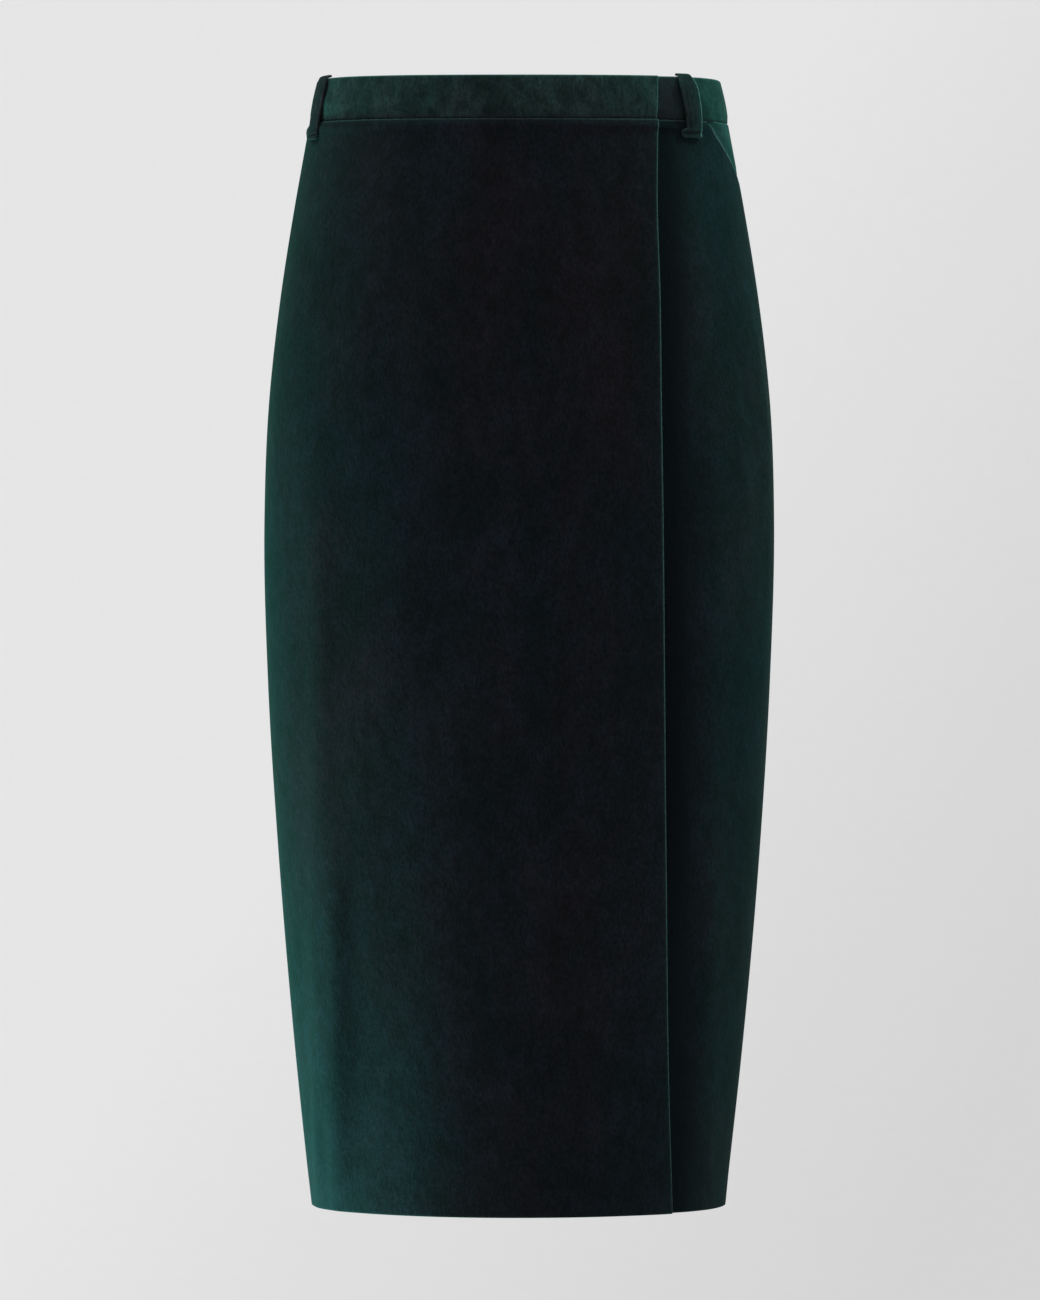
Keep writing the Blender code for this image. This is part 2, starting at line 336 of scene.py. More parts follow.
def relief(angle, drop):
    """How far the velvet's creases, folds and slow waves move it outwards at those places."""
    turn = np.radians(angle)
    out = np.zeros(np.shape(angle))
    for turns, waves, phase, height in WAVES:
        out += height * np.sin(turns * turn + 2 * math.pi * waves * drop / LENGTH + phase)
    for from_angle, from_drop, to_angle, to_drop, half_width, height in CREASES:
        away = (np.asarray(angle) - from_angle + 180) % 360 - 180
        along = Vector((math.radians(to_angle - from_angle) * CREASE_GIRTH, to_drop - from_drop))
        u = np.radians(away) * CREASE_GIRTH
        v = drop - from_drop
        share = (u * along.x + v * along.y) / along.length_squared
        across = (u * along.y - v * along.x) / along.length
        bow = CREASE_BOW * half_width * np.sin(math.pi * np.clip(share, 0, 1))
        ends = ease(share / CREASE_ENDS) * ease((1 - share) / CREASE_ENDS)
        out += height * ends * bump((across - bow) / half_width)
    across_body = smooth(drop, "half_width") * np.cos(turn)
    x_per_degree = np.abs(smooth(drop, "half_width") * np.sin(turn) * math.radians(1))
    slant = metres_per_degree(angle, drop) / np.maximum(1e-4, x_per_degree)
    for side, x, x_at_end, from_drop, to_drop, half_width, height in FOLDS:
        share = (drop - from_drop) / (to_drop - from_drop)
        away = (across_body - x - (x_at_end - x) * np.clip(share, 0, 1)) * slant
        facing = ease(0.5 + FOLD_FACING * side * np.sin(turn))
        out += height * facing * ease(share / FOLD_START) * bump(away / half_width)
    evened = HEM_EVENS * ease((drop - LENGTH + HEM_EVENS_OVER) / HEM_EVENS_OVER)
    return out * ease((drop - BAND_HEIGHT) / RELIEF_FREE_BELOW) * (1 - evened)


# -------------------------------------------------------- walls of cloth

LINES_BY_EDGE = np.array([2, 4, 7, 11])  # extra grid lines by an edge, in roundings from it
LINES_BY_DART = 0.001 * np.array([-4, -2.2, -1.2, -0.5, 0, 0.5, 1.2, 2.2, 4])
CLEAR_OF_EDGE = 1.5  # the other lines keep this many roundings away from an edge
CLOSEST_LINES = 0.0002
LINES_ON_ROUNDING = 6


def stations(length, step, rounding, fine_at=()):
    """Where a wall's grid lines go across it, as (share of the way, shift in metres, thickness).

    The lines crowd towards both edges, which are rounded with that radius: there the thickness
    falls to nothing. Lines also crowd round each share in fine_at, where a seam or dart runs.
    """
    inner = np.linspace(0, 1, max(4, round(length / step)) + 1)
    near = LINES_BY_EDGE * rounding / length
    extra = [near, 1 - near]
    for share in fine_at:
        extra.append(share + LINES_BY_DART / length)
    inner = np.sort(np.concatenate([inner[1:-1], *extra]))
    clear = CLEAR_OF_EDGE * rounding / length
    inner = inner[(inner > clear) & (inner < 1 - clear)]
    keep = np.concatenate([[True], np.diff(inner) > CLOSEST_LINES / length])
    middle = [(share, 0.0, 1.0) for share in inner[keep]]
    turn = np.radians(np.linspace(0, 90, LINES_ON_ROUNDING))
    start = [(0.0, rounding * (1 - math.sin(t)), math.cos(t)) for t in turn[::-1]]
    end = [(1.0, -rounding * (1 - math.sin(t)), math.cos(t)) for t in turn]
    return np.array(start + middle + end)


def closed_wall(name, outer, inner, marks, materials):
    """A closed mesh between two grids of points, whose outermost lines are one and the same.

    marks holds named values, 0 to 1 at each point of the grid: how pale the pile is from use along
    its edges, with a painted highlight there, and how much painted shade lies on it.
    materials are those of the outer and the inner side.
    """
    rows, cols = outer.shape[:2]
    edge = np.ones((rows, cols), bool)
    edge[1:-1, 1:-1] = False
    outer = np.where(edge[..., None], (outer + inner) / 2, outer)
    top = np.arange(rows * cols).reshape(rows, cols)
    under = top.copy()
    under[1:-1, 1:-1] = rows * cols + np.arange((rows - 2) * (cols - 2)).reshape(rows - 2, cols - 2)
    points = np.concatenate([outer.reshape(-1, 3), inner[1:-1, 1:-1].reshape(-1, 3)])

    def quads(index):
        return np.stack([index[:-1, :-1], index[1:, :-1], index[1:, 1:], index[:-1, 1:]], -1)

    front = quads(top).reshape(-1, 4)
    back = quads(under).reshape(-1, 4)[:, ::-1]
    mesh = bpy.data.meshes.new(name)
    mesh.from_pydata(points.tolist(), [], np.concatenate([front, back]).tolist())
    for material in materials:
        mesh.materials.append(material)
    mesh.polygons.foreach_set("material_index", [0] * len(front) + [1] * len(back))
    for mark, values in marks.items():
        attribute = mesh.attributes.new(mark, "FLOAT", "POINT")
        both_sides = np.concatenate([values.ravel(), values[1:-1, 1:-1].ravel()])
        attribute.data.foreach_set("value", both_sides)
    mesh.shade_smooth()
    mesh.update()
    piece = bpy.data.objects.new(name, mesh)
    bpy.context.scene.collection.objects.link(piece)
    return piece


def edge_wear_and_highlight(distances, weights):
    """How pale the pile is along a piece's edges, from use and from a painted highlight, at those
    distances from them, each edge with its weight.

    A weight above 1 makes that edge's strip wider.
    """
    strips = [w * bump(d / WEAR_AND_HIGHLIGHT_WIDTH) for d, w in zip(distances, weights)]
    return np.minimum(1, np.max(strips, axis=0))


def seam_painted_shade(angle, drop):
    """How much painted shade lies in the crease of the waist seam."""
    return SEAM_PAINTED_SHADE * bump((drop - BAND_HEIGHT) / SEAM_PAINTED_SHADE_HALF)


def seam_and_edge_painted_shade(angle, drop):
    """The same, and the painted shadow that the outer front casts on the inner front beside its edge.
    """
    away = np.abs(angle - wrap_angle(drop)) * metres_per_degree(angle, drop)
    share = np.where(drop < BAND_HEIGHT, EDGE_SHADOW_ON_BAND, 1.0)
    by_edge = share * (1 - ease((away - EDGE_SHADOW_FULL) / EDGE_SHADOW_FADES_OVER))
    return np.maximum(seam_painted_shade(angle, drop), by_edge)


def wall(name, outline, across, down, thickness, out, inside, worn, painted_shade, materials):
    """A wall of cloth.

    outline is (first, last, top, bottom): first(drop) and last(drop) are the angles of its two sides,
    top(angle) and bottom(angle) the drops of its ends. across and down are its stations.
    out(angle, drop) says how far its outer face lies from the surface, and inside(angle, drop) what
    its wrong side adds. The edge weights, one for each edge of the outline or a weight(angle), say how
    far each edge is paled by use and by a painted highlight, and the shade function of (angle, drop)
    says how much painted shade lies there.
    """
    first, last, top, bottom = outline
    share_u, shift_u, full_u = across.T
    share_v, shift_v, full_v = down[:, None, :].transpose(2, 0, 1)
    start = first(np.full(share_u.shape, BAND_HEIGHT))
    at_top = start + (last(np.full(share_u.shape, BAND_HEIGHT)) - start) * share_u
    height = bottom(at_top) - top(at_top)
    drop = top(at_top) + height * share_v + shift_v
    side = first(drop)
    angle = side + (last(drop) - side) * share_u
    scale = metres_per_degree(angle, drop)
    width = (last(drop) - side) * scale
    angle = angle + shift_u / scale
    distances = (
        share_u * width + shift_u,
        (1 - share_u) * width - shift_u,
        share_v * height + shift_v,
        (1 - share_v) * height - shift_v,
    )
    face = out(angle, drop)
    swell = full_u * full_v * thickness / 2
    outer = place(angle, drop, face - thickness / 2 + swell)
    inner = place(angle, drop, face - thickness / 2 - swell - inside(angle, drop) * full_u * full_v)
    weights = [weight(angle) if callable(weight) else weight for weight in worn]
    # Edges paled by use and by a painted highlight, and the painted shade.
    marks = {"worn": edge_wear_and_highlight(distances, weights), "painted_shade": painted_shade(angle, drop)}
    return closed_wall(name, outer, inner, marks, materials)


def plain_inside(angle, drop):
    return np.zeros(np.shape(angle))


def allowances(*sides):
    """What the wrong side adds: the hem's turning, and a seam allowance along each given side."""

    def inside(angle, drop):
        step = ALLOWANCE_STEP * ease((drop - LENGTH + HEM_ALLOWANCE) / ALLOWANCE_SLOPE)
        for side in sides:
            away = np.abs(angle - side(drop)) * metres_per_degree(angle, drop)
            past = ease((away - SEAM_ALLOWANCE) / ALLOWANCE_SLOPE)
            step = np.maximum(step, ALLOWANCE_STEP * (1 - past))
        return step

    return inside


# -------------------------------------------------------- materials

# The noises that make up velvet: name, scale, detail and stretch down the cloth.
VELVET_NOISES = (
    ("brushed", 9.0, 3.0, 0.5),
    ("clouds", 26.0, 4.0, 0.6),
    ("mottled", 110.0, 4.0, 0.7),
    ("tufts", 560.0, 3.0, 0.55),
    ("pile", 2400.0, 1.0, 0.5),
)
# How far a noise darkens and lightens the colour, and whether that goes with the piece's contrast.
VELVET_SHADES = (
    ("clouds", 0.36, True),
    ("mottled", 0.34, True),
    ("tufts", 0.34, False),
    ("pile", 0.24, False),
)
# The strength and depth of a noise's relief, and whether the strength goes with the contrast.
VELVET_RELIEF = (
    ("pile", 0.35, 0.0003, False),
    ("tufts", 0.5, 0.0005, False),
    ("mottled", 0.6, 0.0014, True),
    ("clouds", 0.5, 0.0040, True),
)
MOTTLED_IN_PILE = 0.35  # its share in what picks a shade of the pile, beside the brushed noise
SHADES_FROM = 0.38  # the middle part of that value, over which the shades are spread
SHADES_OVER = 0.24


def new_material(name):
    """A material with its nodes and links."""
    material = bpy.data.materials.new(name)
    material.use_nodes = True
    return material, material.node_tree.nodes, material.node_tree.links


def noise(nodes, links, vector, scale, detail, stretch=(1, 1, 1)):
    """A noise texture in the object's own metres, stretched along its axes."""
    mapping = nodes.new("ShaderNodeMapping")
    mapping.inputs["Scale"].default_value = stretch
    links.new(vector, mapping.inputs["Vector"])
    texture = nodes.new("ShaderNodeTexNoise")
    texture.inputs["Scale"].default_value = scale
    texture.inputs["Detail"].default_value = detail
    links.new(mapping.outputs["Vector"], texture.inputs["Vector"])
    return texture.outputs["Fac"]


def ramp(nodes, links, value, stops):
    """Maps 0 to 1 through colour stops of (position, colour)."""
    node = nodes.new("ShaderNodeValToRGB")
    elements = node.color_ramp.elements
    while len(elements) < len(stops):
        elements.new(0.5)
    for element, (position, colour) in zip(elements, stops):
        element.position = position
        element.color = (*colour, 1.0)
    links.new(value, node.inputs["Fac"])
    return node.outputs["Color"]


def mix(nodes, links, share, first, second, blend="MIX"):
    """Two colours blended. Each of the three values is a number, a colour or a socket."""
    node = nodes.new("ShaderNodeMix")
    node.data_type = "RGBA"
    node.blend_type = blend
    for socket_name, value in (("Factor", share), ("A", first), ("B", second)):
        socket = node.inputs[socket_name]
        if isinstance(value, bpy.types.NodeSocket):
            links.new(value, socket)
        else:
            socket.default_value = value
    return node.outputs["Result"]


def relief_of(nodes, links, height, strength, depth, under=None):
    """The normals of a fine relief, on top of those of another one."""
    node = nodes.new("ShaderNodeBump")
    node.inputs["Strength"].default_value = strength
    node.inputs["Distance"].default_value = depth
    links.new(height, node.inputs["Height"])
    if under:
        links.new(under, node.inputs["Normal"])
    return node.outputs["Normal"]


def velvet(name, shades, sheen, rubbed_and_highlight, painted_shade_colour, contrast):
    """Cotton velvet: a deep pile that is nearly black seen straight on and green at a grazing angle.

    shades are the pile's own colours from where it lies flat to where it stands up, and sheen is the
    tint of its grazing light. The third colour is the paler one of edges scuffed by use or folded,
    and also paints a highlight along them; the fourth is painted shade, laid into creases and beside
    an overlapping edge. contrast says how strongly the lie of the pile varies.
    """
    material, nodes, links = new_material(name)
    shader = nodes["Principled BSDF"]
    at = nodes.new("ShaderNodeTexCoord").outputs["Object"]
    noises = {}
    for noise_name, scale, detail, down in VELVET_NOISES:
        noises[noise_name] = noise(nodes, links, at, scale, detail, (1, 1, down))
    lie = mix(nodes, links, MOTTLED_IN_PILE, noises["brushed"], noises["mottled"])
    steps = len(shades) - 1
    stops = [(SHADES_FROM + SHADES_OVER * i / steps, shade) for i, shade in enumerate(shades)]
    colour = ramp(nodes, links, lie, stops)
    for noise_name, most, with_contrast in VELVET_SHADES:
        if with_contrast:
            most *= contrast
        dark, light = (1 - most,) * 3, (1 + most,) * 3
        shade = ramp(nodes, links, noises[noise_name], ((0.34, dark), (0.66, light)))
        colour = mix(nodes, links, 1.0, colour, shade, "MULTIPLY")
    # Painted shade: where the mark is set, the colour turns dark, as in creases and beside an
    # overlapping edge.
    painted_shade = nodes.new("ShaderNodeAttribute")
    painted_shade.attribute_name = "painted_shade"
    colour = mix(nodes, links, painted_shade.outputs["Fac"], colour, (*painted_shade_colour, 1.0))
    # Paler pile along edges, in patches: from use, and a painted highlight.
    worn = nodes.new("ShaderNodeAttribute")
    worn.attribute_name = "worn"
    patches = ((0.25, (0.45, 0.45, 0.45)), (0.60, (1.0, 1.0, 1.0)))
    patchy = ramp(nodes, links, noises["tufts"], patches)
    share = mix(nodes, links, 1.0, worn.outputs["Fac"], patchy, "MULTIPLY")
    colour = mix(nodes, links, share, colour, (*rubbed_and_highlight, 1.0))
    links.new(colour, shader.inputs["Base Color"])
    shader.inputs["Roughness"].default_value = 0.95
    shader.inputs["Specular IOR Level"].default_value = 0.02
    shader.inputs["Sheen Weight"].default_value = 1.0
    shader.inputs["Sheen Roughness"].default_value = 0.8
    shader.inputs["Sheen Tint"].default_value = (*sheen, 1.0)
    normal = None
    for noise_name, strength, depth, with_contrast in VELVET_RELIEF:
        if with_contrast:
            strength *= contrast
        normal = relief_of(nodes, links, noises[noise_name], strength, depth, normal)
    links.new(normal, shader.inputs["Normal"])
    return material


def wrong_side(name):
    """The velvet's plain woven back."""
    material, nodes, links = new_material(name)
    shader = nodes["Principled BSDF"]
    at = nodes.new("ShaderNodeTexCoord").outputs["Object"]
    threads = noise(nodes, links, at, 900.0, 2.0, (1, 1, 0.25))
    stops = ((0.3, (0.006, 0.016, 0.014)), (0.7, (0.013, 0.032, 0.028)))
    colour = ramp(nodes, links, threads, stops)
    links.new(colour, shader.inputs["Base Color"])
    shader.inputs["Roughness"].default_value = 0.9
    shader.inputs["Specular IOR Level"].default_value = 0.2
    links.new(relief_of(nodes, links, threads, 0.4, 0.0003), shader.inputs["Normal"])
    return material


def thread_material():
    """Sewing thread, matched to the velvet."""
    material, nodes, links = new_material("thread")
    shader = nodes["Principled BSDF"]
    at = nodes.new("ShaderNodeTexCoord").outputs["Object"]
    ply = noise(nodes, links, at, 2500.0, 1.0)
    stops = ((0.3, (0.010, 0.030, 0.026)), (0.7, (0.030, 0.075, 0.064)))
    colour = ramp(nodes, links, ply, stops)
    links.new(colour, shader.inputs["Base Color"])
    shader.inputs["Roughness"].default_value = 0.5
    return material


PANEL_VELVET = velvet(
    "velvet_pile",
    shades=((0.0052, 0.0021, 0.0042), (0.0045, 0.0027, 0.0048), (0.0036, 0.0032, 0.0058)),
    sheen=(0.0003, 0.0125, 0.0092),
    rubbed_and_highlight=(0.036, 0.048, 0.050),
    painted_shade_colour=(0.0022, 0.0003, 0.0020),
    contrast=0.55,
)
BAND_VELVET = velvet(
    "velvet_pile_waistband",
    shades=((0.0088, 0.0068, 0.0090), (0.0078, 0.0094, 0.0100), (0.0064, 0.0124, 0.0116)),
    sheen=(0.0020, 0.0230, 0.0190),
    rubbed_and_highlight=(0.034, 0.056, 0.058),
    painted_shade_colour=(0.0076, 0.0008, 0.0048),
    contrast=1.0,
)
# A lighter copy of the panels' velvet for the hip piece: its colours and sheen are raised as painted
# light, for the light that falls on it past the pocket's mouth.
LIT_POCKET_VELVET = velvet(
    "velvet_pile_pocket",
    shades=((0.0070, 0.0030, 0.0050), (0.0066, 0.0044, 0.0060), (0.0060, 0.0060, 0.0070)),
    sheen=(0.0070, 0.0460, 0.0400),
    rubbed_and_highlight=(0.050, 0.090, 0.085),
    painted_shade_colour=(0.0030, 0.0010, 0.0020),
    contrast=0.8,
)
LOOP_VELVET = velvet(
    "velvet_pile_loops",
    shades=((0.0080, 0.0030, 0.0060), (0.0074, 0.0046, 0.0066), (0.0056, 0.0070, 0.0076)),
    sheen=(0.0010, 0.0130, 0.0110),
    rubbed_and_highlight=(0.044, 0.074, 0.074),
    painted_shade_colour=(0.0030, 0.0010, 0.0020),
    contrast=0.8,
)
WRONG_SIDE = wrong_side("velvet_wrong_side")
THREAD = thread_material()


# -------------------------------------------------------- the pieces

# Between grid lines, round the body and down it.
PANEL_STEPS = (0.0045, 0.0060)
BAND_STEPS = (0.0035, 0.0022)
HIP_PIECE_STEPS = (0.003, 0.003)
HIP_PIECE_SIZE = (0.090, 0.095)  # near enough to space its grid lines
MEASURED_AT = 60  # places along an edge, to measure a piece
EDGE = CLOTH / 2  # the radius of a panel's rounded edges
BAND_EDGE = BAND_CLOTH / 2
HALF_SEAM = 0.00006  # each piece stops this far short of its seam


def below_band(angle):
    return np.full(np.shape(angle), BAND_HEIGHT + HALF_SEAM)


def at_hem(angle):
    return np.full(np.shape(angle), LENGTH)


def mean_width(first, last):
    """The width round the body between two sides, half way down the skirt."""
    drop = (BAND_HEIGHT + LENGTH) / 2
    angle = np.linspace(float(first(drop)), float(last(drop)), MEASURED_AT)
    return float(np.mean(metres_per_degree(angle, drop)) * (angle[-1] - angle[0]))


def add_piece(piece, node):
    """The piece stands for its solid, which it hides, and rides on the root."""
    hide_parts(node)
    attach(piece, "root")
    return piece


def widest(points):
    """The longest row of a grid, along the cloth."""
    return float(np.linalg.norm(np.diff(points, axis=1), axis=-1).sum(1).max())


def tallest(points):
    """The longest column of a grid, along the cloth."""
    return float(np.linalg.norm(np.diff(points, axis=0), axis=-1).sum(0).max())


def flat_size(first, last, top, bottom):
    """(width, length) and area of the flat cut between those edges."""
    shares = np.linspace(0, 1, MEASURED_AT)
    start, end = float(first(BAND_HEIGHT)), float(last(BAND_HEIGHT))
    at_top = start + (end - start) * shares
    drop = top(at_top) + (bottom(at_top) - top(at_top)) * shares[:, None]
    angle = first(drop) + (last(drop) - first(drop)) * shares
    points = place(angle, drop)
    down = points[1:, :-1] - points[:-1, :-1]
    along = points[:-1, 1:] - points[:-1, :-1]
    area = float(np.linalg.norm(np.cross(down, along), axis=-1).sum())
    return (round(widest(points), 3), round(tallest(points), 3)), area


def panel(node, first, last, top, out, inside, worn, painted_shade, fine_at=()):
    """A panel from that top to the hem, with the velvet's relief and its puff below the waist seam."""
    across = stations(mean_width(first, last), PANEL_STEPS[0], EDGE, fine_at)
    down = stations(LENGTH - BAND_HEIGHT, PANEL_STEPS[1], EDGE)

    def face(angle, drop):
        puffed = SEAM_PUFF * bump((drop - BAND_HEIGHT - SEAM_PUFF_BELOW) / SEAM_PUFF_HALF)
        return out(angle, drop) + relief(angle, drop) + puffed

    outline = (first, last, top, at_hem)
    materials = (PANEL_VELVET, WRONG_SIDE)
    piece = wall(node + "_cloth", outline, across, down, CLOTH, face, inside, worn, painted_shade, materials)
    flat, area = flat_size(*outline)
    return add_piece(piece, node)


def on_outer(angle, drop):
    """The outer front lies on the surface, and its free edge stands a little off the inner front."""
    away = (wrap_angle(drop) - angle) * metres_per_degree(angle, drop)
    return EDGE_LIFT * (1 - ease(away / EDGE_LIFT_WIDTH)) - EDGE_ROLL * bump(away / EDGE_ROLL_HALF)


def on_inner(angle, drop):
    """The inner front lies inside the surface."""
    return -under_inset(angle, drop)


def on_back(angle, drop):
    """The back lies on the surface, with its darts sewn in."""
    out = np.zeros(np.shape(angle))
    for dart in DART_ANGLES:
        away = (angle - dart) * metres_per_degree(angle, drop)
        share = (drop - BAND_HEIGHT) / DART_LENGTH
        fades = ease((share - DART_FADES_FROM) / DART_FADES_OVER)
        out -= DART_GROOVE * bump(away / DART_GROOVE_HALF) * (1 - fades)
        out += DART_SWELL * bump(away / DART_SWELL_HALF) * bump((share - 1) / DART_SWELL_REACH)
    return out


def mouth_top(angle):
    """The inner front's top edge: the waist seam, and from the pocket's start on its mouth."""
    return np.maximum(mouth_drop(angle), BAND_HEIGHT + HALF_SEAM)


def mouth_wear_and_highlight(angle):
    """How pale the inner front's top edge is from use and a painted highlight: most along the pocket's
    mouth.
    """
    return WAIST_WEAR_AND_HIGHLIGHT + MOUTH_WEAR_AND_HIGHLIGHT * ease((angle - POCKET_START) / MOUTH_WEAR_AND_HIGHLIGHT_OVER)


# How pale each piece is from use, with a painted highlight, along its first side, last side, top and
# bottom.
WEAR_AND_HIGHLIGHT = {
    "front_outer": (0.25, 1.4, 0.55, 0.10),
    "front_inner": (0.60, 0.25, mouth_wear_and_highlight, 0.10),
    "back": (0.25, 0.25, 0.55, 0.10),
    "pocket_hip_piece": (0.0, 0.25, 0.55, 0.0),
    "waistband_outer": (0.2, 1.0, 0.8, 0.15),
    "waistband_inner": (0.6, 0.2, 0.8, 0.15),
    "waistband_back": (0.2, 0.2, 0.8, 0.15),
}


def make_panels():
    """The outer front, the inner front and the back."""
    panel("front_outer", right_seam, wrap_angle, below_band, on_outer, allowances(right_seam),
          WEAR_AND_HIGHLIGHT["front_outer"], seam_painted_shade)
    panel("front_inner", under_angle, left_seam, mouth_top, on_inner, allowances(left_seam),
          WEAR_AND_HIGHLIGHT["front_inner"], seam_and_edge_painted_shade)
    start = back_left_seam(0)
    darts = [(dart - start) / (RIGHT_SEAM - start) for dart in DART_ANGLES]
    panel("back", back_left_seam, right_seam, below_band, on_back,
          allowances(back_left_seam, right_seam), WEAR_AND_HIGHLIGHT["back"], seam_painted_shade, darts)


def make_hip_piece():
    """The piece that shows past the pocket's mouth, and runs on behind it."""

    def first(drop):
        start = np.full(np.shape(drop), POCKET_START)
        return POCKET_START - POCKET_LAP / metres_per_degree(start, drop)

    def behind(angle, drop):
        above = mouth_drop(angle) - drop - BEHIND_ABOVE_MOUTH
        return 1 - ease(above / (LEVEL_ABOVE_MOUTH - BEHIND_ABOVE_MOUTH))

    def top(angle):
        return below_band(angle) - HIP_PIECE_RAISED * behind(angle, BAND_HEIGHT)

    def bottom(angle):
        return mouth_drop(angle) + POCKET_LAP

    def face(angle, drop):
        return on_inner(angle, drop) - (CLOTH + 2 * LAY) * behind(angle, drop)

    across, down = (
        stations(size, step, EDGE) for size, step in zip(HIP_PIECE_SIZE, HIP_PIECE_STEPS)
    )
    node = "pocket_hip_piece"
    piece = wall(node + "_cloth", (first, left_seam, top, bottom), across, down, CLOTH, face,
                 plain_inside, WEAR_AND_HIGHLIGHT[node], seam_painted_shade, (LIT_POCKET_VELVET, WRONG_SIDE))
    flat, area = flat_size(first, left_seam, below_band, bottom)
    add_piece(piece, node)


def band_face(out):
    """The waistband's outer face: softly padded, and puckered along the seam below it."""

    def face(angle, drop):
        share = drop / BAND_HEIGHT
        padded = BAND_PADDING * np.sin(math.pi * np.clip(share, 0, 1))
        turn = np.radians(angle)
        ripple = RIPPLE_HEIGHT
        for turns, phase in RIPPLE_WAVES:
            ripple = ripple * np.sin(turns * turn + phase)
        ripple = ripple + FINE_RIPPLE_HEIGHT * np.sin(FINE_RIPPLE_TURNS * turn)
        puffs = np.zeros(np.shape(angle))
        for at, height_share, half_width, height in PUFFS:
            away = (angle - at) * metres_per_degree(angle, drop)
            up = (share - height_share) * BAND_HEIGHT
            puffs += height * bump(np.hypot(away, up) / half_width)
        drawn_in = BAND_DRAWN_IN * ease((share - BAND_DRAWN_IN_FROM) / BAND_DRAWN_IN_OVER)
        return out(angle, drop) + padded + puffs + ripple * ease(share) - drawn_in

    return face


def make_waistband():
    """The waistband on the outer front, on the inner front and on the back."""

    def top(angle):
        return np.zeros(np.shape(angle))

    def bottom(angle):
        return np.full(np.shape(angle), BAND_HEIGHT - HALF_SEAM)

    rows = (
        ("waistband_outer", right_seam, wrap_angle, on_surface, seam_painted_shade),
        ("waistband_inner", under_angle, left_seam, on_inner, seam_and_edge_painted_shade),
        ("waistband_back", back_left_seam, right_seam, on_surface, seam_painted_shade),
    )
    for node, first, last, out, painted_shade in rows:
        across = stations(mean_width(first, last), BAND_STEPS[0], BAND_EDGE)
        down = stations(BAND_HEIGHT, BAND_STEPS[1], BAND_EDGE)
        outline = (first, last, top, bottom)
        piece = wall(node + "_cloth", outline, across, down, BAND_CLOTH, band_face(out),
                     plain_inside, WEAR_AND_HIGHLIGHT[node], painted_shade, (BAND_VELVET, WRONG_SIDE))
        flat, area = flat_size(*outline)
        add_piece(piece, node)


# -------------------------------------------------------- belt loops

# A loop's line over the waistband: drop, and how far it stands off as a share of its arch.
LOOP_FOLD = 0.0012  # the radius of the waistband's edge where the loop turns over it
LOOP_LINE = (
    (LOOP_FOLD, 0.15),
    (0.0080, 0.85),
    (0.0180, 1.0),
    (0.0290, 0.90),
    (0.0385, 0.25),
    (LOOP_END_DROP, 0.0),
)
LOOP_REACHES_IN = 0.93  # over the waistband's top, as a share of the band's thickness
LOOP_STEPS = 10  # from one knot of its line to the next
LOOP_LINES_ACROSS = 31
LOOP_FLAT_TO = 60  # degrees out of the 90 that lead to its side: from there on it is rounded

LOOP_CORNER = 0.0026  # the radius of its end's corners
LOOP_NARROWER_AT_TOP = 0.0015
LOOP_NARROWER_OVER = 0.004
LOOP_WAVERS = 0.05  # its width varies by this share
LOOP_WAVES = 130.0  # radians a metre
FLARE_FROM = 0.0366  # the drop from which its end is wider
FLARE_OVER = 0.0022

LOOP_CROWN = 0.0006
LOOP_CROWN_FROM = 0.002
LOOP_CROWN_OVER = 0.006
LOOP_SEAM_AT = 0.0052  # from its middle: where the turned-in edges show through, on both sides
LOOP_SEAM_DEPTH = 0.0003
LOOP_SEAM_HALF = 0.0008
LOOP_SEAM_FROM = 0.004
LOOP_SEAM_OVER = 0.006
LOOP_TACK_DROP = 0.0382  # the line of stitches that holds its lower end
TACK_RIDGE = 0.0005
TACK_RIDGE_HALF = 0.0008
TACK_DIP_DROP = 0.0404
TACK_DIP = 0.0010
TACK_DIP_HALF = 0.0014

STITCHES = 7
STITCH_LENGTH = 0.0015
STITCH_RADIUS = 0.00022
STITCH_ROW = 0.82  # the share of the loop's width that the row takes up
STITCH_OUT = 0.0001  # how far its thread's middle lies out of the loop
STITCH_DIPS = 0.00025  # how much deeper its ends lie
STITCH_TIP = 0.02  # keeps its ends from closing to a point
STITCH_RING = 8  # points round its thread
STITCH_STATIONS = 7  # rings along it


def curve_through(knots, steps):
    """Points on a smooth curve through the knots."""
    knots = [Vector(knot) for knot in knots]
    padded = [2 * knots[0] - knots[1], *knots, 2 * knots[-1] - knots[-2]]
    line = []
    for a, b, c, d in zip(padded, padded[1:], padded[2:], padded[3:]):
        for i in range(steps):
            t = i / steps
            curve = 2 * b + (c - a) * t + (2 * a - 5 * b + 4 * c - d) * t**2
            line.append((curve + (3 * b - a - 3 * c + d) * t**3) / 2)
    return np.array([*line, knots[-1]])


def make_loops():
    """The four belt loops."""
    for name, angle, arch, flare, worn in LOOPS:
        on_inner_front = wrap_angle(0.0) < angle < LEFT_SEAM
        belt_loop(name, angle, arch, flare, worn, under_inset if on_inner_front else on_surface)


def loop_line(lies, arch):
    """A loop's line from behind the waistband's top to its end, as points of (drop, out)."""
    corner = (LOOP_FOLD + lies) * math.cos(math.radians(45)) - LOOP_FOLD
    over_edge = [(-lies, -BAND_CLOTH * LOOP_REACHES_IN), (-lies, -LOOP_FOLD), (-corner, corner)]
    down = [(drop, lies + arch * share) for drop, share in LOOP_LINE]
    return curve_through(over_edge + down, LOOP_STEPS)


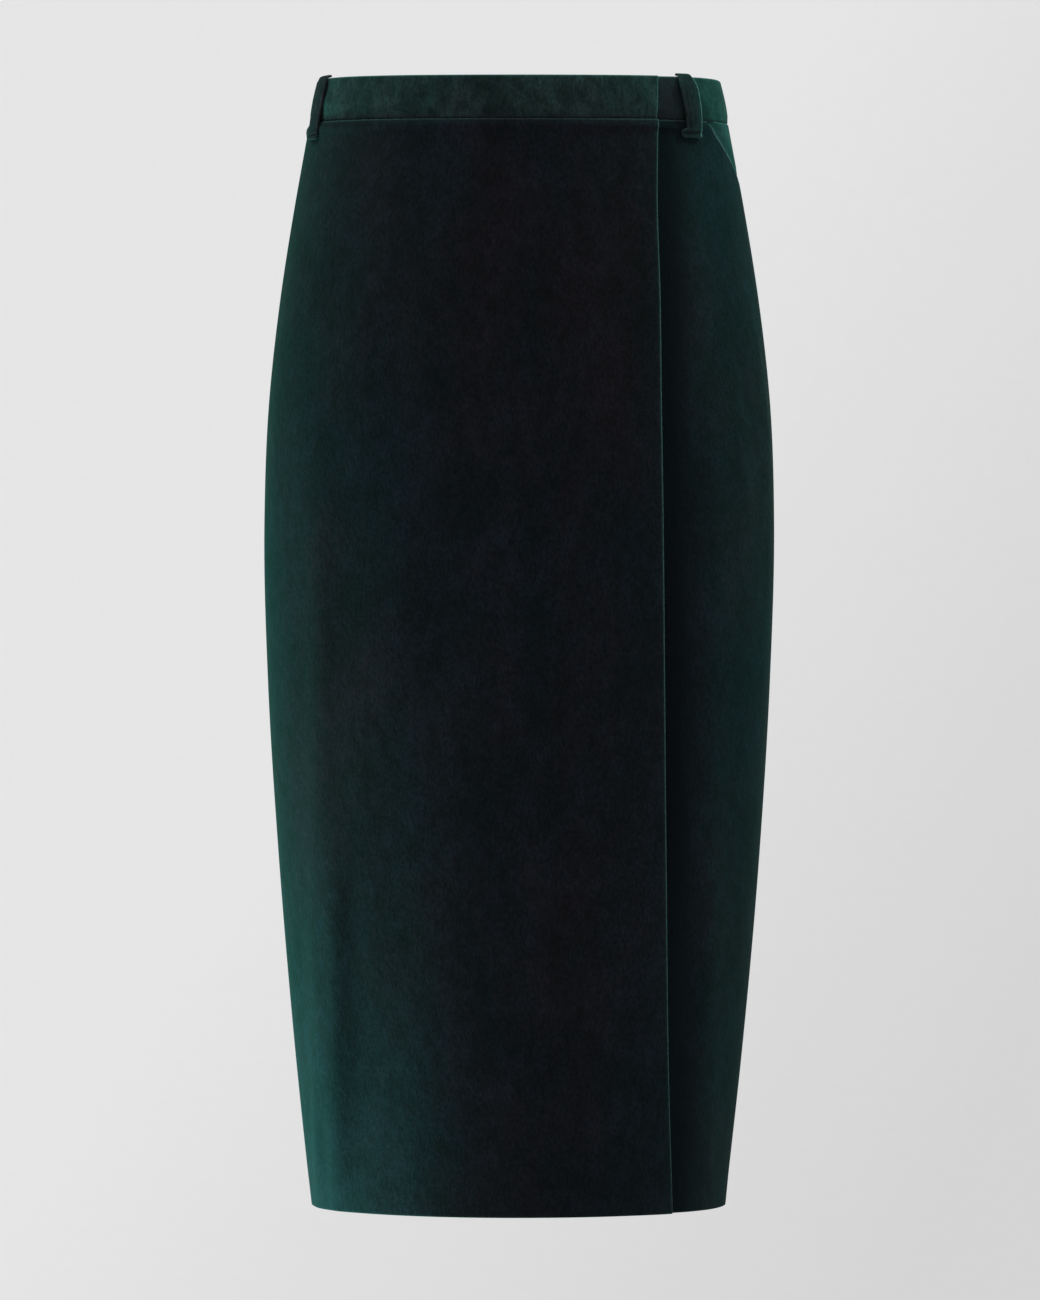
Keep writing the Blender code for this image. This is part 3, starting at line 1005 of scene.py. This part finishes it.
def loop_relief(u, drop):
    """How far a loop's outer face stands out: crowned, with its seams' print and its tack."""
    ridge = TACK_RIDGE * bump((drop - LOOP_TACK_DROP) / TACK_RIDGE_HALF)
    dip = TACK_DIP * bump((drop - TACK_DIP_DROP) / TACK_DIP_HALF)
    along_seam = bump((np.abs(u) - LOOP_SEAM_AT) / LOOP_SEAM_HALF)
    seam = -LOOP_SEAM_DEPTH * along_seam * ease((drop - LOOP_SEAM_FROM) / LOOP_SEAM_OVER)
    rounded = 1 - np.square(2 * u / LOOP_WIDTH)
    crown = LOOP_CROWN * rounded * ease((drop - LOOP_CROWN_FROM) / LOOP_CROWN_OVER)
    return ridge - dip + seam + crown


def belt_loop(name, angle, arch, flare, weights, inset):
    """A turned strip over the waistband, its end folded under and sewn down below it."""
    lies = LAY + LOOP_CLOTH
    line = loop_line(lies, arch)
    along = np.gradient(line, axis=0)
    normal = np.stack([-along[:, 1], along[:, 0]], -1)
    normal /= np.linalg.norm(normal, axis=1, keepdims=True)
    half = LOOP_CLOTH / 2
    middle = line - normal * half
    travelled = np.concatenate([[0], np.cumsum(np.linalg.norm(np.diff(line, axis=0), axis=1))])
    length = float(travelled[-1])
    from_end = np.minimum(travelled, length - travelled)
    full = np.sqrt(1 - np.square(np.clip(1 - from_end / half, 0, 1)))[:, None]

    # Across the loop: u is the place from side to side, and thick falls to nothing at both.
    turn = np.radians(np.linspace(-90, 90, LOOP_LINES_ACROSS))
    flat_to = math.radians(LOOP_FLAT_TO)
    flat_share = np.minimum(1, np.abs(turn) / flat_to)
    rounding = np.clip((np.abs(turn) - flat_to) / math.radians(90 - LOOP_FLAT_TO), 0, 1)
    edge = rounding * math.pi / 2
    u = np.sign(turn) * ((LOOP_WIDTH / 2 - half) * flat_share + half * np.sin(edge))
    thick = np.cos(edge)

    drop = middle[:, :1] * np.ones(len(u))
    level = np.maximum(0.0, drop)
    flared = ease((level - FLARE_FROM) / FLARE_OVER)
    widening = flare * flared * np.clip(0.5 - u / LOOP_WIDTH, 0, 1)
    from_corner = np.clip(1 - (length - travelled) / LOOP_CORNER, 0, 1)[:, None]
    cut_off = LOOP_CORNER * (1 - np.sqrt(1 - from_corner**2))
    narrowing = cut_off + LOOP_NARROWER_AT_TOP * bump(level / LOOP_NARROWER_OVER)
    wavering = LOOP_WAVERS * np.sin(level * LOOP_WAVES)
    sideways = u * (1 + wavering - 2 * narrowing / LOOP_WIDTH) - widening
    raised = loop_relief(u, drop) * thick * full
    turned = angle + sideways / metres_per_degree(angle, level)
    sides = []
    for sign in (1, -1):
        reach = sign * half * full * thick
        out = middle[:, 1:] + normal[:, 1:] * reach + (raised if sign > 0 else 0)
        sides.append(place(turned, middle[:, :1] + normal[:, :1] * reach, out - inset(turned, level)))

    from_side = LOOP_WIDTH / 2 - np.abs(u) * np.ones(drop.shape)
    to_end = (length - travelled)[:, None] * np.ones(drop.shape)
    left_edge = np.where(u < 0, from_side, LOOP_WIDTH)
    right_edge = np.where(u > 0, from_side, LOOP_WIDTH)
    # Its sides and end paled by use, with a painted highlight along them.
    marks = {"worn": edge_wear_and_highlight((left_edge, right_edge, to_end), weights)}
    piece = closed_wall(name + "_cloth", *sides, marks, (LOOP_VELVET, LOOP_VELVET))
    add_piece(piece, name)
    stitches(name, angle, lies + STITCH_OUT - inset(angle, LOOP_TACK_DROP))


def stitches(name, angle, out):
    """The short row of stitches that holds a loop's lower end."""
    points, faces = [], []
    for i in range(STITCHES):
        centre = (i - (STITCHES - 1) / 2) * LOOP_WIDTH * STITCH_ROW / STITCHES
        base = len(points)
        for t in np.linspace(-1, 1, STITCH_STATIONS):
            radius = STITCH_RADIUS * math.sqrt(max(STITCH_TIP, 1 - t**4))
            dip = STITCH_DIPS * t * t
            along = centre + t * STITCH_LENGTH / 2
            for k in range(STITCH_RING):
                turn = 2 * math.pi * k / STITCH_RING
                at = angle + along / metres_per_degree(angle, LOOP_TACK_DROP)
                level = LOOP_TACK_DROP + radius * math.cos(turn)
                points.append(place(at, level, out - dip + radius * math.sin(turn)).tolist())
        numbers = range(base, base + STITCH_STATIONS * STITCH_RING, STITCH_RING)
        rings = [list(range(number, number + STITCH_RING)) for number in numbers]
        for ring, beyond in zip(rings, rings[1:]):
            for k in range(STITCH_RING):
                after = (k + 1) % STITCH_RING
                faces.append((ring[k], ring[after], beyond[after], beyond[k]))
        faces.append(tuple(rings[0])[::-1])
        faces.append(tuple(rings[-1]))
    mesh = bpy.data.meshes.new(name + "_stitches")
    mesh.from_pydata(points, [], faces)
    mesh.materials.append(THREAD)
    mesh.shade_smooth()
    piece = bpy.data.objects.new(name + "_stitches", mesh)
    bpy.context.scene.collection.objects.link(piece)
    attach(piece, "root")


# -------------------------------------------------------- studio, light and camera

FLOOR = -1.75  # the skirt hangs clear of it, as on a form that isn't seen
STUDIO_RADIUS = 8.0
STUDIO_SWEEP = 2.5  # the radius of the curve between floor and wall
STUDIO_HEIGHT = 5.0
PHOTO_SIZE = (1040, 1300)
CAMERA_DISTANCE = 4.5
FOCAL_PIXELS = 6293.0
CAMERA_X = 0.00065
CAMERA_Z = -0.3882
SENSOR = 36.0
STUDIO_BEND = 12  # steps round the curve between floor and wall
STUDIO_SIDES = 96
STUDIO_CENTRE = 0.02  # the radius of the floor's middle face
# Painted shade on the paper: how much darker it grows along x, y and z, between these shades.
PAPER_PAINTED_SHADE = (0.33, 0.0, -0.22)  # a metre, along x, y and z
PAPER_PAINTED_SHADE_STOPS = ((0.0, (0.836, 0.836, 0.836)), (0.55, (0.700, 0.700, 0.700)))
PAPER_FLECKS = ((0.3, (0.99, 0.99, 0.99)), (0.7, (1.0, 1.0, 1.0)))
WORLD_STRENGTH = 0.95


def pale_paper():
    """Pale grey studio paper, with painted shade that makes it a little darker towards the right and
    the floor.
    """
    material, nodes, links = new_material("pale_paper")
    shader = nodes["Principled BSDF"]
    at = nodes.new("ShaderNodeTexCoord").outputs["Object"]
    slope = nodes.new("ShaderNodeVectorMath")
    slope.operation = "DOT_PRODUCT"
    slope.inputs[1].default_value = PAPER_PAINTED_SHADE
    links.new(at, slope.inputs[0])
    grain = noise(nodes, links, at, 40.0, 3.0)
    paper = ramp(nodes, links, slope.outputs["Value"], PAPER_PAINTED_SHADE_STOPS)
    flecks = ramp(nodes, links, grain, PAPER_FLECKS)
    links.new(mix(nodes, links, 1.0, paper, flecks, "MULTIPLY"), shader.inputs["Base Color"])
    shader.inputs["Roughness"].default_value = 0.95
    shader.inputs["Specular IOR Level"].default_value = 0.0
    return material


def make_studio():
    """A round pale floor that sweeps up into a wall, far outside every camera."""
    profile = [(STUDIO_CENTRE, FLOOR), (0.5 * STUDIO_RADIUS, FLOOR)]
    for step in range(STUDIO_BEND + 1):
        turn = math.radians(90 * step / STUDIO_BEND)
        reach = STUDIO_RADIUS - STUDIO_SWEEP * (1 - math.sin(turn))
        profile.append((reach, FLOOR + STUDIO_SWEEP * (1 - math.cos(turn))))
    profile.append((STUDIO_RADIUS, STUDIO_HEIGHT))
    points, faces = [], []
    for i, (reach, z) in enumerate(profile):
        base = (i - 1) * STUDIO_SIDES
        for k in range(STUDIO_SIDES):
            turn = 2 * math.pi * k / STUDIO_SIDES
            points.append((reach * math.cos(turn), reach * math.sin(turn), z))
            if i:
                a, b = base + k, base + (k + 1) % STUDIO_SIDES
                faces.append((a, b, b + STUDIO_SIDES, a + STUDIO_SIDES))
    faces.append(tuple(range(STUDIO_SIDES)))
    mesh = bpy.data.meshes.new("studio")
    mesh.from_pydata(points, [], faces)
    mesh.materials.append(pale_paper())
    mesh.shade_smooth()
    studio = bpy.data.objects.new("studio", mesh)
    studio.visible_diffuse = False
    studio.visible_glossy = False
    studio.visible_shadow = False
    bpy.context.scene.collection.objects.link(studio)
    return studio


SIDE_TINT = (0.18, 1.0, 0.78)
LOW_TINT = (0.34, 1.0, 0.84)
WHITE = (1.0, 1.0, 1.0)

# Soft boxes: name, place, what each faces, width, height, power in watts and colour.
LIGHTS = (
    ("front_left", (-1.80, -1.26, -0.95), (0.0, 0.0, -0.75), 0.5, 0.7, 5.0, SIDE_TINT),
    ("low_left", (-0.80, 0.07, -1.50), (0.0, 0.0, -0.85), 0.3, 0.2, 72.0, LOW_TINT),
    ("low_left_back", (-0.78, 0.21, -1.50), (0.0, 0.0, -0.85), 0.3, 0.2, 22.0, LOW_TINT),
    ("low_left_front", (-0.76, -0.25, -1.50), (0.0, 0.0, -0.85), 0.3, 0.2, 10.0, LOW_TINT),
    ("right_strip", (2.56, 0.45, -0.35), (0.0, 0.0, -0.38), 0.5, 2.2, 39.0, SIDE_TINT),
    ("high_left", (-0.80, 0.10, 0.85), (0.0, 0.0, -0.05), 0.3, 0.2, 20.0, LOW_TINT),
    ("high_right", (0.80, 0.10, 0.85), (0.0, 0.0, -0.05), 0.3, 0.2, 22.0, LOW_TINT),
    ("overhead", (0.0, -1.2, 2.4), (0.0, 0.0, -0.1), 1.6, 0.8, 14.0, WHITE),
    ("back_fill", (0.6, 2.8, 0.3), (0.0, 0.0, -0.4), 1.2, 1.2, 16.0, WHITE),
)


def make_lights(studio):
    """Soft boxes for the skirt alone, and an even white world that lights the studio as well."""
    unlit = bpy.data.collections.new("not_lit_by_boxes")
    unlit.objects.link(studio)
    unlit.collection_objects[0].light_linking.link_state = "EXCLUDE"
    for name, where, facing, width, height, power, colour in LIGHTS:
        light = bpy.data.lights.new(name, "AREA")
        light.shape = "RECTANGLE"
        light.size = width
        light.size_y = height
        light.energy = power
        light.color = colour
        lamp = bpy.data.objects.new(name, light)
        lamp.location = where
        lamp.visible_camera = False
        lamp.light_linking.receiver_collection = unlit
        aim = Vector(facing) - Vector(where)
        lamp.rotation_euler = aim.to_track_quat("-Z", "Y").to_euler()
        bpy.context.scene.collection.objects.link(lamp)
    world = bpy.data.worlds.new("soft_daylight")
    world.use_nodes = True
    background = world.node_tree.nodes["Background"]
    background.inputs["Color"].default_value = (*WHITE, 1.0)
    background.inputs["Strength"].default_value = WORLD_STRENGTH
    bpy.context.scene.world = world


def make_camera():
    """The photograph's view: straight on, from far off."""
    camera = bpy.data.cameras.new("camera")
    camera.sensor_width = SENSOR
    camera.lens = FOCAL_PIXELS * SENSOR / PHOTO_SIZE[1]
    camera.clip_end = 30.0
    eye = bpy.data.objects.new("camera", camera)
    eye.location = (CAMERA_X, -CAMERA_DISTANCE, CAMERA_Z)
    eye.rotation_euler = (math.radians(90), 0.0, 0.0)
    bpy.context.scene.collection.objects.link(eye)
    bpy.context.scene.camera = eye
    bpy.context.scene.view_settings.view_transform = "Standard"


make_camera()
make_lights(make_studio())
make_panels()
make_hip_piece()
make_waistband()
make_loops()
